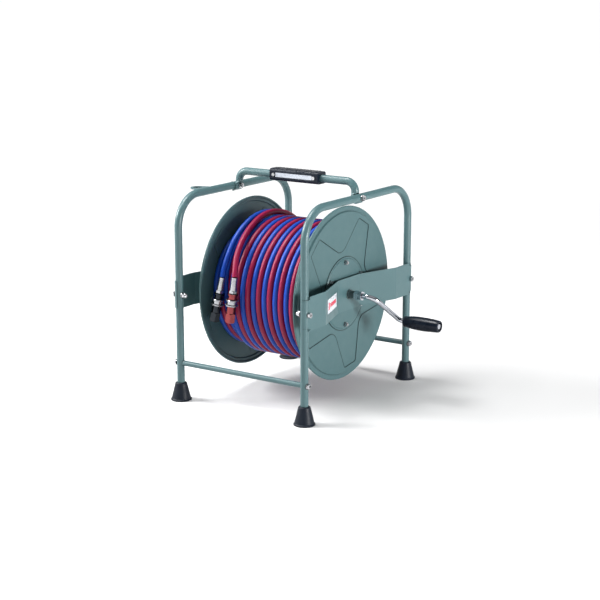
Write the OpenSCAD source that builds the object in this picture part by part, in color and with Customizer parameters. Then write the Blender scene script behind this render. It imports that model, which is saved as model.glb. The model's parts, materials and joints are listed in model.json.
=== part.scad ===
// Portable twin-hose reel on a bent-tube stand with a carry handle.
// Millimetres, +Z up, +X towards the crank. The origin is on the floor, under the
// middle of the whole object's box; reel_x is where the reel's own middle then lies.

/* [Stand] */
// Outside diameter of the stand and handle tube
tube_d = 15.9; // [14:0.1:19]
// Wall of the stand and handle tube
tube_wall = 1.4; // [1:0.1:2]
// Distance between the left and right legs, axis to axis
stand_w = 304.8; // [280:0.1:366]
// Distance between the front and rear legs, axis to axis
stand_depth = 393.6; // [380:0.1:472]
// Height of the top tubes' axis above the floor
stand_h = 421.6; // [400:0.1:506]
// Bend radius of the stand's corners
stand_bend_r = 64; // [50:1:90]
// Outside diameter of the cross bars
bar_d = 11; // [9.2:0.1:14]
// Height of the cross bars above the floor
bar_z = 79; // [60:1:110]
// Shank of the bolts in the stand
bolt_d = 6; // [5:0.5:8]

/* [Feet] */
// Diameter of a foot at the floor
foot_d = 43; // [34:1:52]
// Diameter of a foot at its top
foot_top_d = 23.5; // [20:0.5:30]
// Height of a foot
foot_h = 37.5; // [28:0.5:48]
// Rubber under the leg
foot_floor = 7; // [5:0.5:10]

/* [Drum] */
// Height of the drum's axis above the floor
axis_z = 221.5; // [205:0.5:240]
// Outside diameter of a flange
flange_d = 358.6; // [300:0.1:370]
// Distance from the reel's middle to a flange's rim plane
flange_x = 117; // [98:0.5:118]
// Flange and core sheet thickness
drum_sheet = 1.2; // [1:0.1:1.6]
// Outside diameter of the drum's core
core_d = 171; // [150:1:200]
// Diameter of the axle
axle_d = 12; // [10:0.5:14]
// Pitch circle of the flange screws
screw_pcd = 129; // [110:1:140]
// Shank of the flange screws
screw_d = 5; // [4:0.5:6]

/* [Bearing plates] */
// Height of a bearing plate
plate_h = 67.4; // [56:0.1:82]
// Bearing plate thickness
plate_t = 1.6; // [1.2:0.1:2.5]
// Distance from the reel's middle to a plate's inner face at the drum
plate_x = 128.8; // [127:0.1:135]
// Half length of a plate's flat middle
plate_flat_y = 41; // [34:1:50]
// Distance from the middle to a plate's outer bends
plate_bend_y = 136; // [115:1:160]
// Height of the lips that wrap the legs
lip_h = 55; // [45:1:60]

/* [Crank] */
// Crank radius, drum axis to grip axis
crank_r = 94; // [78:1:113]
// Angle of the crank below level, towards the back
crank_angle = 39.6; // [0:0.1:90]
// Diameter of the crank rod
rod_d = 10; // [8:0.5:11]
// Length of the crank grip
crank_grip_l = 81; // [68:1:98]
// Largest diameter of the crank grip
crank_grip_d = 28.5; // [22:0.5:34]

/* [Carry handle] */
// Height of the handle tube's axis above the top tubes' axes
handle_rise = 31.4; // [30:0.1:50]
// Bend radius of the handle's corners
handle_bend_r = 20; // [16:1:24]
// Length of the carry grip
carry_grip_l = 118; // [98:1:142]
// Width of the carry grip, front to back
carry_grip_w = 31; // [26:0.5:38]
// Width of the handle's flattened ends
saddle_w = 26; // [20:1:32]

/* [Hoses] */
// Outside diameter of each hose
hose_d = 12; // [10:0.1:12.4]
// Number of layers on the drum
layers = 5; // [3:1:5]
// Length of each coupling
coupling_l = 95; // [80:1:114]

/* [Hidden] */

frame_green = [0.44, 0.56, 0.55];
zinc = [0.80, 0.81, 0.83];
bright_chrome = [0.86, 0.87, 0.89];
near_black = [0.09, 0.10, 0.12];
hose_blue = [0.05, 0.25, 0.78];
hose_red = [0.72, 0.08, 0.26];
copper_tone = [0.80, 0.42, 0.36];
black_chrome = [0.12, 0.12, 0.13];

eps = 0.02;            // overrun of a cut past a face
seat = 0.05;           // clearance of a piece seated in or against another
turn_gap = 0.06;       // radial clearance of a shaft that turns
run_gap = 0.6;         // clearance between pieces that pass each other
leg_x = stand_w / 2;
leg_y = stand_depth / 2;
tube_r = tube_d / 2;
bolt_hole_d = bolt_d + 0.4;
leg_outer_x = leg_x + tube_r;
handle_z = stand_h + handle_rise;
leg_inner_x = leg_x - tube_r;

// Sizes of the smaller hardware
bolt_af = 10;
bolt_head_h = 4;
recess_depth = 1.8;
recess_l = 5.6;
recess_w = 1.3;
washer_t = 1.2;
washer_d = 13;
cap_nut_h = 5;
screw_af = 8;
screw_nut_h = 4;
screw_washer_t = 1;
screw_tail = 2;
grip_screw_d = 4;

// Flange profile: height of each zone outside the rim plane
rim_r = flange_d / 2;
bead_d = 4.6;
rim_band = 10;
disc_rise = 3;
boss_rise = 4.2;
boss_r = 72;
core_r = core_d / 2;
star_depth = 0.8;
star_blades = 5;
star_tilt = -9.7;
star_outer_r = 158;
star_valley_r = 82;
star_half = 7.8;

disc_inner_x = flange_x + disc_rise - drum_sheet;
boss_inner_x = flange_x + boss_rise - drum_sheet;
core_end_t = 1.5;       // thickness of the core's turned-in ends
boss_outer_x = flange_x + boss_rise;
plate_outer_x = plate_x + plate_t;
plate_leg_x = leg_outer_x + seat;
plate_z = axis_z + 1.2;

// Bushes in the plates and hubs in the flanges
bush_body_d = axle_d + 6;
bush_flange_t = 1.8;
hub_d = axle_d + 10;
hub_l = 18;
hub_plate_t = 3;
pair_gap = 0.5;
anchor_x = 104.25;

// Crank line, along X from the right plate
sleeve_d = 16;
sleeve_ring_d = 19.5;
sleeve_x0 = plate_outer_x + 1;
sleeve_l = 14.6;
nut_x0 = sleeve_x0 + sleeve_l;
nut_af = 17;
nut_l = 10;
lock_nut_l = 6;
nut_space = 0.4;
rod_x0 = nut_x0 + 2;
rod_bend_x = rod_x0 + 40;
rod_out_x = rod_bend_x + 22;
rod_bend_r = 24;
rod_grip_bend_r = 11;
grip_x0 = rod_out_x + 10.5;
grip_recess = 7;
rod_stop_l = 1.6;
grip_x1 = grip_x0 + crank_grip_l;

// Hook eye on the left top tube
eye_r = 16;
eye_hole_r = 10;
eye_t = 3;
eye_y = -90;
eye_x = leg_outer_x + 22.65;
eye_z = stand_h + 1;

// The reel's middle is set back so that the whole box is centred on the origin
reel_x = -(grip_x1 - (eye_x + eye_r)) / 2;

// Winding: pairs of hoses side by side, each layer one hose thick
wind_in_x = flange_x;
wind_step_x = -59;
wind_outer_r = core_r + layers * hose_d;
wind_lower_r = wind_outer_r - hose_d;

// Free ends of the hoses: over the top of the winding and down its front to the couplings.
// x is from the reel's middle, y and z from the drum's axis.
blue_points = [[-67, 121, 69], [-69, 101, 101], [-72, 75, 126], [-74, 40, 143],
    [-76, 0, 149], [-77, -39, 145], [-78, -75, 130], [-79, -106, 106],
    [-80, -128, 76], [-81, -140, 53], [-80.5, -146.5, 36]];
red_points = [[-56, 124, 78], [-57, 106, 105], [-58, 77, 129], [-60, 41, 145],
    [-61, 0, 151], [-61, -40, 146], [-59, -77, 131], [-55, -111, 110],
    [-50, -137, 85], [-44, -152, 62], [-40, -160, 43]];
blue_end = [-101.5, -150, -59.5];
red_end = [-53, -160.5, -50.5];

// Coupling zones, measured from the hose's end along the coupling
ferrule_d = 13.4;
ferrule_l = 16;
tail_body_l = 18;
tail_spigot_d = 9;
tail_spigot_l = 14;
collar_d = 21.5;
collar_l = 2.8;
neck_d = 17;
ring_start = 46;
ring_l = 14;
ring_d = 26;
ring_gap = 0.15;
front_d = 18.6;
nut_start = coupling_l - 20;
union_af = 19;
union_wall = 4;
union_bore_d = 15;
socket_bore_d = 6;

function unit(v) = v / norm(v);
function left_of(u) = [-u[1], u[0]];
function turn_of(u, v) = atan2(u[0] * v[1] - u[1] * v[0], u * v);
function angle_of(v) = atan2(v[1], v[0]);
function last(v) = v[len(v) - 1];
function on_axis(p) = [p[0], p[1], p[2] + axis_z];

// Trim left on each side of a corner whose bend has radius r
function trim_of(a, b, c, r) = r * tan(abs(turn_of(unit(b - a), unit(c - b))) / 2);

// Rounded polygon corner: points of the arc of radius r between the sides a-b and b-c
function corner_arc(a, b, c, r, steps = 8) =
    let (u = unit(b - a), v = unit(c - b), turn = turn_of(u, v),
        start = b - u * r * tan(abs(turn) / 2),
        centre = start + left_of(u) * r * sign(turn),
        from = angle_of(start - centre))
    [for (i = [0:steps]) centre + r * [cos(from + turn * i / steps), sin(from + turn * i / steps)]];

module placed() {
    translate([reel_x, 0, 0]) children();
}

// Puts the children's +Z along the line from p to q, starting at p
module along(p, q) {
    v = q - p;
    translate(p) rotate([0, acos(v[2] / norm(v)), atan2(v[1], v[0])]) children();
}

// Puts the children's +Z along +X or -X
module towards_x(side = 1) {
    rotate([0, 90 * side, 0]) children();
}

module both_sides() {
    for (side = [-1, 1]) scale_side(side) children();
}

module scale_side(side) {
    if (side > 0) children();
    else mirror([1, 0, 0]) children();
}

module hex_prism(af, h) {
    cylinder(d = af / cos(30), h = h, $fn = 6);
}

module pipe(outer, inner, h) {
    difference() {
        cylinder(d = outer, h = h, $fn = 64);
        translate([0, 0, -eps]) cylinder(d = inner, h = h + 2 * eps, $fn = 64);
    }
}

// Round bar bent in its own XY plane along the points, with one bend radius for each
// corner. over is how far the two ends run past their points. The straight lengths run
// into the bends by lap, and the bends are thicker by swell, so that they join soundly.
module bent_bar(points, radii, d, over = 0, lap = 0, swell = 0) {
    count = len(points);
    trims = [for (i = [0:count - 1]) (i == 0 || i == count - 1) ? -over
        : trim_of(points[i - 1], points[i], points[i + 1], radii[i - 1])];
    for (i = [0:count - 2]) {
        u = unit(points[i + 1] - points[i]);
        from = points[i] + u * (trims[i] - (i > 0 ? lap : 0));
        to = points[i + 1] - u * (trims[i + 1] - (i < count - 2 ? lap : 0));
        if (norm(to - from) > eps / 2)
            along([from[0], from[1], 0], [to[0], to[1], 0])
                cylinder(d = d, h = norm(to - from), $fn = 48);
    }
    for (i = [1:count - 2]) {
        r = radii[i - 1];
        u = unit(points[i] - points[i - 1]);
        v = unit(points[i + 1] - points[i]);
        turn = turn_of(u, v);
        start = points[i] - u * trims[i];
        end = points[i] + v * trims[i];
        centre = start + left_of(u) * r * sign(turn);
        translate([centre[0], centre[1], 0])
            rotate([0, 0, angle_of((turn > 0 ? start : end) - centre)])
                rotate_extrude(angle = abs(turn), $fn = 96)
                    translate([r, 0]) circle(d = d + swell, $fn = 48);
    }
}

module bent_tube(points, radii, d, wall) {
    difference() {
        bent_bar(points, radii, d);
        bent_bar(points, radii, d - 2 * wall, eps);
    }
}

// ---- stand

module frame_tube(side) {
    bottom = foot_floor + seat;
    points = [[-leg_y, bottom], [-leg_y, stand_h], [leg_y, stand_h], [leg_y, bottom]];
    color(frame_green) placed() difference() {
        translate([side * leg_x, 0, 0]) rotate([90, 0, 90])
            bent_tube(points, [stand_bend_r, stand_bend_r], tube_d, tube_wall);
        for (front = [-1, 1], z = [bar_z, axis_z])
            translate([side * leg_x - tube_d, front * leg_y, z]) towards_x()
                cylinder(d = bolt_hole_d, h = 2 * tube_d, $fn = 32);
        translate([side * leg_x - tube_d, 0, stand_h]) towards_x()
            cylinder(d = bolt_hole_d, h = 2 * tube_d, $fn = 32);
    }
}

module left_frame_tube() { frame_tube(-1); }
module right_frame_tube() { frame_tube(1); }

module cross_bar(front) {
    bore_l = 30;
    color(frame_green) placed() translate([0, front * leg_y, bar_z]) difference() {
        translate([-leg_x, 0, 0]) towards_x() cylinder(d = bar_d, h = stand_w, $fn = 48);
        both_sides() {
            translate([leg_x, 0, -tube_d]) cylinder(r = tube_r + seat, h = 2 * tube_d, $fn = 64);
            translate([leg_x - bore_l, 0, 0]) towards_x() cylinder(d = bolt_d, h = bore_l, $fn = 32);
        }
    }
}

module front_cross_bar() { cross_bar(-1); }
module rear_cross_bar() { cross_bar(1); }

module foot(side, front) {
    lip_h = 3;
    color(near_black) placed() translate([side * leg_x, front * leg_y, 0]) difference() {
        rotate_extrude($fn = 96) polygon([[0, 0], [foot_d / 2 - 0.8, 0], [foot_d / 2, 0.8],
            [foot_d / 2, lip_h], [foot_d / 2 - 1.6, lip_h + 1.6], [foot_top_d / 2 + 0.4, foot_h - 1.5],
            [foot_top_d / 2 - 1, foot_h], [0, foot_h]]);
        translate([0, 0, foot_floor]) cylinder(r = tube_r + seat, h = foot_h, $fn = 64);
    }
}

module left_front_foot() { foot(-1, -1); }
module left_rear_foot() { foot(-1, 1); }
module right_front_foot() { foot(1, -1); }
module right_rear_foot() { foot(1, 1); }

// One bolt along +X through a leg, head outside; its origin is on the leg's outer line
module leg_bolt(reach) {
    difference() {
        translate([washer_t, 0, 0]) towards_x() hex_prism(bolt_af, bolt_head_h);
        for (turn = [20, 110])
            translate([washer_t + bolt_head_h - recess_depth, 0, 0]) rotate([turn, 0, 0])
                translate([0, -recess_l / 2, -recess_w / 2]) cube([bolt_head_h, recess_l, recess_w]);
    }
    translate([-reach, 0, 0]) towards_x() cylinder(d = bolt_d, h = reach + washer_t, $fn = 32);
}

module cross_bar_bolts() {
    color(zinc) placed() both_sides() for (front = [-1, 1])
        translate([leg_outer_x + seat, front * leg_y, bar_z]) leg_bolt(tube_d + 20);
}

module cross_bar_washers() {
    color(zinc) placed() both_sides() for (front = [-1, 1])
        translate([leg_outer_x + seat, front * leg_y, bar_z]) towards_x()
            pipe(washer_d, bolt_hole_d, washer_t);
}

// ---- bearing plates

// Centre line of the inner face, front half, from the middle outwards
module plate_outline() {
    slope = atan2(plate_leg_x - plate_x, plate_bend_y - plate_flat_y);
    side_shift = plate_t * tan(slope / 2);
    inner = [[plate_x, plate_flat_y], [plate_leg_x, plate_bend_y], [plate_leg_x, leg_y]];
    outer = [[plate_leg_x + plate_t, leg_y], [plate_leg_x + plate_t, plate_bend_y - side_shift],
        [plate_outer_x, plate_flat_y - side_shift]];
    polygon([for (p = concat(inner, outer, [for (i = [2:-1:0]) [outer[i][0], -outer[i][1]]],
        [for (i = [2:-1:0]) [inner[i][0], -inner[i][1]]])) p]);
}

module bearing_plate(side) {
    relief_d = 4;
    relief_rise = 3.4;
    slot_h = (plate_h - lip_h) / 2;
    color(frame_green) placed() scale_side(side) difference() {
        union() {
            translate([0, 0, plate_z - plate_h / 2]) linear_extrude(plate_h) plate_outline();
            for (front = [-1, 1])
                translate([leg_x, front * leg_y, plate_z - lip_h / 2])
                    rotate([0, 0, front > 0 ? 0 : -90])
                        rotate_extrude(angle = 90, $fn = 96)
                            translate([tube_r + seat, 0]) square([plate_t, lip_h]);
        }
        for (front = [-1, 1]) {
            translate([leg_outer_x - 1, front * (leg_y - 4), plate_z - plate_h / 2 + relief_rise])
                towards_x() cylinder(d = relief_d, h = 6, $fn = 32);
            translate([leg_outer_x - 1, front * (leg_y - 3) - 2, plate_z + plate_h / 2 - slot_h])
                cube([6, 4, slot_h + 1]);
            translate([leg_outer_x - 1, front * leg_y, axis_z]) towards_x()
                cylinder(d = bolt_hole_d, h = 6, $fn = 32);
        }
        translate([plate_x - 1, 0, axis_z]) towards_x() cylinder(d = bush_body_d, h = 6, $fn = 64);
    }
}

module left_bearing_plate() { bearing_plate(-1); }
module right_bearing_plate() { bearing_plate(1); }

module plate_bolts() {
    color(zinc) placed() both_sides() for (front = [-1, 1])
        translate([plate_leg_x + plate_t, front * leg_y, axis_z])
            leg_bolt(tube_d + plate_t + 2 * seat + washer_t + cap_nut_h - 1);
}

module plate_cap_nuts() {
    color(zinc) placed() both_sides() for (front = [-1, 1])
        translate([leg_inner_x - seat, front * leg_y, axis_z]) towards_x(-1) difference() {
            union() {
                pipe(washer_d, bolt_d, washer_t);
                translate([0, 0, washer_t]) hex_prism(bolt_af, cap_nut_h);
                translate([0, 0, washer_t + cap_nut_h]) intersection() {
                    sphere(d = bolt_af - 0.4, $fn = 48);
                    cylinder(d = bolt_af, h = bolt_af / 2, $fn = 48);
                }
            }
            translate([0, 0, -eps]) cylinder(d = bolt_d, h = washer_t + cap_nut_h, $fn = 32);
        }
}

module bush() {
    color([0.85, 0.84, 0.78]) difference() {
        union() {
            translate([plate_x - bush_flange_t, 0, axis_z]) towards_x()
                cylinder(d = bush_body_d + 6, h = bush_flange_t, $fn = 64);
            translate([plate_x - bush_flange_t, 0, axis_z]) towards_x()
                cylinder(d = bush_body_d, h = bush_flange_t + plate_t + 0.4, $fn = 64);
        }
        translate([plate_x - 5, 0, axis_z]) towards_x()
            cylinder(r = axle_d / 2 + turn_gap, h = 12, $fn = 64);
    }
}

module left_bush() { placed() scale_side(-1) bush(); }
module right_bush() { placed() bush(); }

module plate_label() {
    label_l = 70;
    label_h = 29;
    label_t = 0.3;
    slope = atan2(plate_leg_x - plate_x, plate_bend_y - plate_flat_y);
    mid = [(plate_leg_x + plate_x) / 2 + plate_t / cos(slope) + eps,
        -(plate_bend_y + plate_flat_y) / 2, axis_z];
    color([0.93, 0.94, 0.95]) placed() translate(mid) rotate([0, 0, slope])
        translate([0, -label_l / 2, -label_h / 2]) cube([label_t, label_l, label_h]);
}

// ---- carry handle

saddle_t = 2 * tube_wall + 0.2;
saddle_x = leg_inner_x - seat - saddle_t / 2;

module carry_handle_tube() {
    flat_z = stand_h + 6.5;
    neck_z = handle_z - handle_bend_r - 1;
    arm = [[-saddle_x, neck_z], [-saddle_x, handle_z], [saddle_x, handle_z], [saddle_x, neck_z]];
    hug_r = tube_r + seat;
    color(frame_green) placed() {
        difference() {
            rotate([90, 0, 0]) bent_tube(arm, [handle_bend_r, handle_bend_r], tube_d, tube_wall);
            for (i = [-1, 1])
                translate([grip_shift + i * grip_screw_span / 2, 0, handle_z + grip_screw_z])
                    rotate([90, 0, 0])
                        cylinder(d = grip_screw_d + 0.4, h = tube_d + 2, center = true, $fn = 32);
        }
        both_sides() difference() {
            union() {
                hull() {
                    translate([saddle_x, 0, neck_z]) cylinder(d = tube_d, h = eps, $fn = 32);
                    translate([saddle_x - saddle_t / 2, -saddle_w / 2, flat_z])
                        cube([saddle_t, saddle_w, eps]);
                }
                translate([saddle_x - saddle_t / 2, -saddle_w / 2, stand_h])
                    cube([saddle_t, saddle_w, flat_z - stand_h]);
                translate([leg_x, saddle_w / 2, stand_h]) rotate([90, 0, 0])
                    rotate([0, 0, 180]) rotate_extrude(angle = 90, $fn = 96)
                        translate([hug_r, 0]) square([saddle_t, saddle_w]);
            }
            translate([saddle_x - tube_d, 0, stand_h]) towards_x()
                cylinder(d = bolt_hole_d, h = 1.2 * tube_d, $fn = 32);
        }
    }
}

module handle_bolts() {
    reach = tube_d + saddle_t + 3 * seat + washer_t + cap_nut_h + 2;
    color(zinc) placed() both_sides()
        translate([leg_outer_x + seat, 0, stand_h]) {
            leg_bolt(reach);
            towards_x() pipe(washer_d, bolt_d, washer_t);
        }
}

handle_nut_x = saddle_x - saddle_t / 2 - seat;

module handle_washers() {
    color(zinc) placed() both_sides()
        translate([handle_nut_x, 0, stand_h]) towards_x(-1) pipe(11, bolt_hole_d, washer_t);
}

module handle_nuts() {
    color(zinc) placed() both_sides()
        translate([handle_nut_x - washer_t, 0, stand_h]) towards_x(-1) difference() {
            hex_prism(bolt_af, cap_nut_h);
            translate([0, 0, -eps]) cylinder(d = bolt_d, h = cap_nut_h + 2 * eps, $fn = 32);
        }
}

grip_shift = 4;
grip_top = 13.5;
grip_bottom = 11.2;
grip_wall = 2.4;
strip_l = 89;
strip_h = 9;
strip_depth = 0.6;
grip_screw_span = 98;
grip_screw_z = 1.2;

module grip_section(inset) {
    w = carry_grip_w / 2 - inset;
    hi = grip_top - inset;
    lo = -grip_bottom + inset;
    r = 6 - inset;
    corners = [[-w, lo], [w, lo], [w, hi], [-w, hi]];
    polygon([for (i = [0:3]) each corner_arc(corners[(i + 3) % 4], corners[i], corners[(i + 1) % 4], r)]);
}

// One half shell; front is -1 for the front half and 1 for the rear half
module grip_shell(front) {
    ridges = 11;
    ridge_pitch = 9;
    ridge_depth = 1.2;
    color(near_black) placed() translate([grip_shift, 0, handle_z]) difference() {
        translate([-carry_grip_l / 2, 0, 0]) rotate([90, 0, 90]) difference() {
            linear_extrude(carry_grip_l) grip_section(0);
            for (i = [0:1])
                translate([0, 0, 6 + i * (carry_grip_l - 9) / 2])
                    linear_extrude((carry_grip_l - 15) / 2) grip_section(grip_wall);
        }
        translate([-carry_grip_l / 2 - 1, 0, 0]) towards_x()
            cylinder(r = tube_r + seat, h = carry_grip_l + 2, $fn = 64);
        translate([-carry_grip_l, front > 0 ? seat / 2 - carry_grip_w : -seat / 2, -carry_grip_w])
            cube([2 * carry_grip_l, carry_grip_w, 2 * carry_grip_w]);
        translate([-strip_l / 2, front * (carry_grip_w / 2 - strip_depth) - 2 + 2 * front,
            grip_screw_z - strip_h / 2]) cube([strip_l, 4, strip_h]);
        for (i = [-1, 1])
            translate([i * grip_screw_span / 2, 0, grip_screw_z]) rotate([90, 0, 0])
                cylinder(d = grip_screw_d, h = 2 * carry_grip_w, center = true, $fn = 32);
        for (i = [0:ridges - 1])
            translate([(i - (ridges - 1) / 2) * ridge_pitch, 0, grip_top + 1 - ridge_depth])
                rotate([0, 0, 24]) translate([-1.3, -carry_grip_w, 0])
                    cube([2.6, 2 * carry_grip_w, 2]);
    }
}

module front_grip_shell() { grip_shell(-1); }
module rear_grip_shell() { grip_shell(1); }

module grip_name_strip() {
    color([0.82, 0.84, 0.86]) placed()
        translate([grip_shift - strip_l / 2 + seat, -carry_grip_w / 2 + 0.1,
            handle_z + grip_screw_z - strip_h / 2 + seat])
            cube([strip_l - 2 * seat, strip_depth - 0.1, strip_h - 2 * seat]);
}

module grip_screws() {
    head_h = 1.8;
    color(zinc) placed() for (i = [-1, 1])
        translate([grip_shift + i * grip_screw_span / 2, -carry_grip_w / 2, handle_z + grip_screw_z])
            rotate([-90, 0, 0]) {
                translate([0, 0, -head_h]) cylinder(d = 7, h = head_h, $fn = 48);
                translate([0, 0, -eps]) cylinder(d = grip_screw_d - 0.2, h = carry_grip_w - 2, $fn = 32);
            }
}

module hook_eye() {
    root_half = eye_r * 1.75;
    shift = eye_x - leg_x;
    color(frame_green) placed() translate([-leg_x, eye_y, eye_z]) difference() {
        linear_extrude(eye_t) difference() {
            union() {
                translate([-shift, 0]) circle(r = eye_r, $fn = 96);
                polygon([[-shift - eye_r * 0.53, -eye_r * 0.848], [0, -root_half], [0, root_half],
                    [-shift - eye_r * 0.53, eye_r * 0.848]]);
            }
            translate([-shift, 0]) circle(r = eye_hole_r, $fn = 96);
        }
        translate([0, -stand_depth / 2, stand_h - eye_z]) rotate([-90, 0, 0])
            cylinder(r = tube_r, h = stand_depth, $fn = 96);
        translate([-tube_r * 0.2, -stand_depth / 2, -10]) cube([50, stand_depth, 20]);
    }
}

// ---- drum

module drum_core() {
    ring_in = 55;
    step_out = boss_r - 1.2;
    step_in = boss_r - 3.5;
    color(frame_green) placed() translate([0, 0, axis_z]) difference() {
        towards_x() rotate_extrude($fn = 128) polygon([
            [core_r, -disc_inner_x], [core_r, disc_inner_x],
            [step_out, disc_inner_x], [step_in, boss_inner_x], [ring_in, boss_inner_x],
            [ring_in, boss_inner_x - core_end_t], [step_in, boss_inner_x - core_end_t],
            [step_out, disc_inner_x - core_end_t], [core_r - drum_sheet, disc_inner_x - core_end_t],
            [core_r - drum_sheet, -disc_inner_x + core_end_t],
            [step_out, -disc_inner_x + core_end_t], [step_in, -boss_inner_x + core_end_t],
            [ring_in, -boss_inner_x + core_end_t], [ring_in, -boss_inner_x], [step_in, -boss_inner_x],
            [step_out, -disc_inner_x]]);
        screw_places() translate([-2 * flange_x, 0, 0]) towards_x()
            cylinder(d = screw_d + 0.4, h = 4 * flange_x, $fn = 32);
        both_sides() translate([disc_inner_x - star_depth - seat, 0, 0]) rotate([90, 0, 90])
            linear_extrude(star_depth + 1) star(0);
        translate([anchor_x - hose_d - pair_gap, -8, 0.65 * core_r])
            cube([2 * (hose_d + pair_gap), 8 + 0.75 * core_r, core_r]);
    }
}

module screw_places() {
    for (i = [0:5]) rotate([30 + 60 * i, 0, 0]) translate([0, screw_pcd / 2, 0]) children();
}

function star_point(k, j) =
    let (a = star_tilt + k * 360 / star_blades)
    j == 0 ? star_outer_r * [cos(a - star_half), sin(a - star_half)]
    : j == 1 ? star_outer_r * [cos(a + star_half), sin(a + star_half)]
    : star_valley_r * [cos(a + 180 / star_blades), sin(a + 180 / star_blades)];

module star(inset) {
    raw = [for (k = [0:star_blades - 1], j = [0:2]) star_point(k, j)];
    count = len(raw);
    difference() {
        polygon([for (i = [0:count - 1])
            each corner_arc(raw[(i + count - 1) % count], raw[i], raw[(i + 1) % count],
                i % 3 == 2 ? 26 + inset : 5, i % 3 == 2 ? 10 : 4)]);
        circle(r = boss_r + 4 + inset, $fn = 128);
    }
}

module flange(side) {
    outer = [[hub_d / 2 + seat, boss_rise], [boss_r - 1, boss_rise], [boss_r + 1, disc_rise],
        [rim_r - rim_band - 2, disc_rise], [rim_r - rim_band, 0], [rim_r - bead_d / 2, 0]];
    inner = [for (i = [len(outer) - 1:-1:0]) outer[i] - [0, drum_sheet]];
    color(frame_green) placed() translate([0, 0, axis_z]) scale_side(side) difference() {
        translate([flange_x, 0, 0]) {
            towards_x() rotate_extrude($fn = 192) polygon(concat(outer, inner));
            towards_x() rotate_extrude($fn = 192)
                translate([rim_r - bead_d / 2, -bead_d / 2]) circle(d = bead_d, $fn = 24);
            translate([disc_rise - star_depth - drum_sheet, 0, 0]) rotate([90, 0, 90])
                linear_extrude(drum_sheet) star(0);
        }
        translate([flange_x + disc_rise - star_depth, 0, 0]) rotate([90, 0, 90])
            linear_extrude(star_depth + 1) star(0);
        screw_places() translate([flange_x - 10, 0, 0]) towards_x()
            cylinder(d = screw_d + 0.4, h = 30, $fn = 32);
    }
}

module left_flange() { flange(-1); }
module right_flange() { flange(1); }

module hub() {
    neck_x = plate_x - bush_flange_t - run_gap;
    color(zinc) translate([0, 0, axis_z]) difference() {
        union() {
            translate([boss_inner_x - hub_l, 0, 0]) towards_x()
                cylinder(d = hub_d, h = hub_l + neck_x - boss_inner_x, $fn = 64);
            translate([boss_inner_x - hub_plate_t, 0, 0]) towards_x()
                cylinder(d = 2 * hub_d, h = hub_plate_t, $fn = 64);
        }
        translate([boss_inner_x - hub_l - 1, 0, 0]) towards_x()
            cylinder(d = axle_d, h = hub_l + 30, $fn = 64);
    }
}

module left_hub() { placed() scale_side(-1) hub(); }
module right_hub() { placed() hub(); }

axle_left_x = plate_outer_x + 14;

module axle() {
    color(zinc) placed() translate([-axle_left_x, 0, axis_z]) towards_x()
        cylinder(d = axle_d, h = axle_left_x + nut_x0, $fn = 64);
}

module axle_washer() {
    color(zinc) placed() translate([-plate_outer_x - 1, 0, axis_z]) towards_x(-1)
        pipe(24, axle_d, 1.6);
}

module axle_end_nut() {
    color(zinc) placed() translate([-plate_outer_x - 2.6 - seat, 0, axis_z]) towards_x(-1) difference() {
        hex_prism(18, 9);
        translate([0, 0, -eps]) cylinder(d = axle_d, h = 10, $fn = 64);
    }
}

module crank_sleeve() {
    color([0.30, 0.36, 0.37]) placed() translate([sleeve_x0, 0, axis_z]) towards_x() {
        pipe(sleeve_ring_d, axle_d, 3);
        translate([0, 0, 3]) pipe(sleeve_d, axle_d, sleeve_l - 3);
    }
}

module crank_nuts() {
    color(bright_chrome) placed() translate([nut_x0, 0, axis_z]) towards_x() difference() {
        union() {
            hex_prism(nut_af, nut_l);
            translate([0, 0, nut_l + nut_space]) rotate([0, 0, 14]) hex_prism(nut_af, lock_nut_l);
        }
        translate([0, 0, -eps]) cylinder(d = rod_d, h = nut_l + lock_nut_l + 2, $fn = 48);
    }
}

module crank_plane() {
    placed() translate([0, 0, axis_z]) rotate([-crank_angle, 0, 0]) children();
}

module crank_rod() {
    line = [[rod_x0, 0], [rod_bend_x, 0], [rod_out_x, crank_r], [grip_x1 - grip_recess, crank_r]];
    color(bright_chrome) crank_plane() {
        bent_bar(line, [rod_bend_r, rod_grip_bend_r], rod_d, lap = 0.2, swell = 0.04);
        translate([grip_x0 - rod_stop_l - 0.3, crank_r, 0]) towards_x()
            cylinder(d = rod_d + 4, h = rod_stop_l, $fn = 48);
    }
}

module crank_grip() {
    r = crank_grip_d / 2;
    l = crank_grip_l;
    barrel = [[rod_d / 2 + 0.15, 0], [r * 0.70, 0], [r * 0.77, 0.8], [r * 0.79, 3],
        [r * 0.80, 0.07 * l], [r * 0.88, 0.15 * l], [r * 0.95, 0.26 * l], [r * 0.99, 0.40 * l],
        [r, 0.52 * l], [r * 0.99, 0.64 * l], [r * 0.95, 0.78 * l], [r * 0.90, 0.90 * l],
        [r * 0.88, l - 4], [r * 0.84, l - 1], [r * 0.80, l], [8.5, l], [8.5, l - grip_recess],
        [rod_d / 2 + 0.15, l - grip_recess]];
    color(near_black) crank_plane() translate([grip_x0, crank_r, 0]) towards_x()
        rotate_extrude($fn = 96) polygon(barrel);
}

module grip_end_screw() {
    color(bright_chrome) crank_plane() translate([grip_x1 - grip_recess + 0.3, crank_r, 0]) towards_x() {
        cylinder(d = 14.5, h = 1.4, $fn = 48);
        translate([0, 0, 1.4]) hex_prism(10, 4);
    }
}

module flange_screws() {
    tip_x = boss_outer_x + screw_washer_t + screw_nut_h + screw_tail;
    head_x = boss_inner_x - core_end_t - seat;
    color(zinc) placed() translate([0, 0, axis_z]) both_sides() screw_places() {
        translate([head_x, 0, 0]) towards_x() cylinder(d = screw_d, h = tip_x - head_x, $fn = 32);
        translate([head_x, 0, 0]) towards_x(-1) hex_prism(screw_af, 3.5);
    }
}

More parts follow.
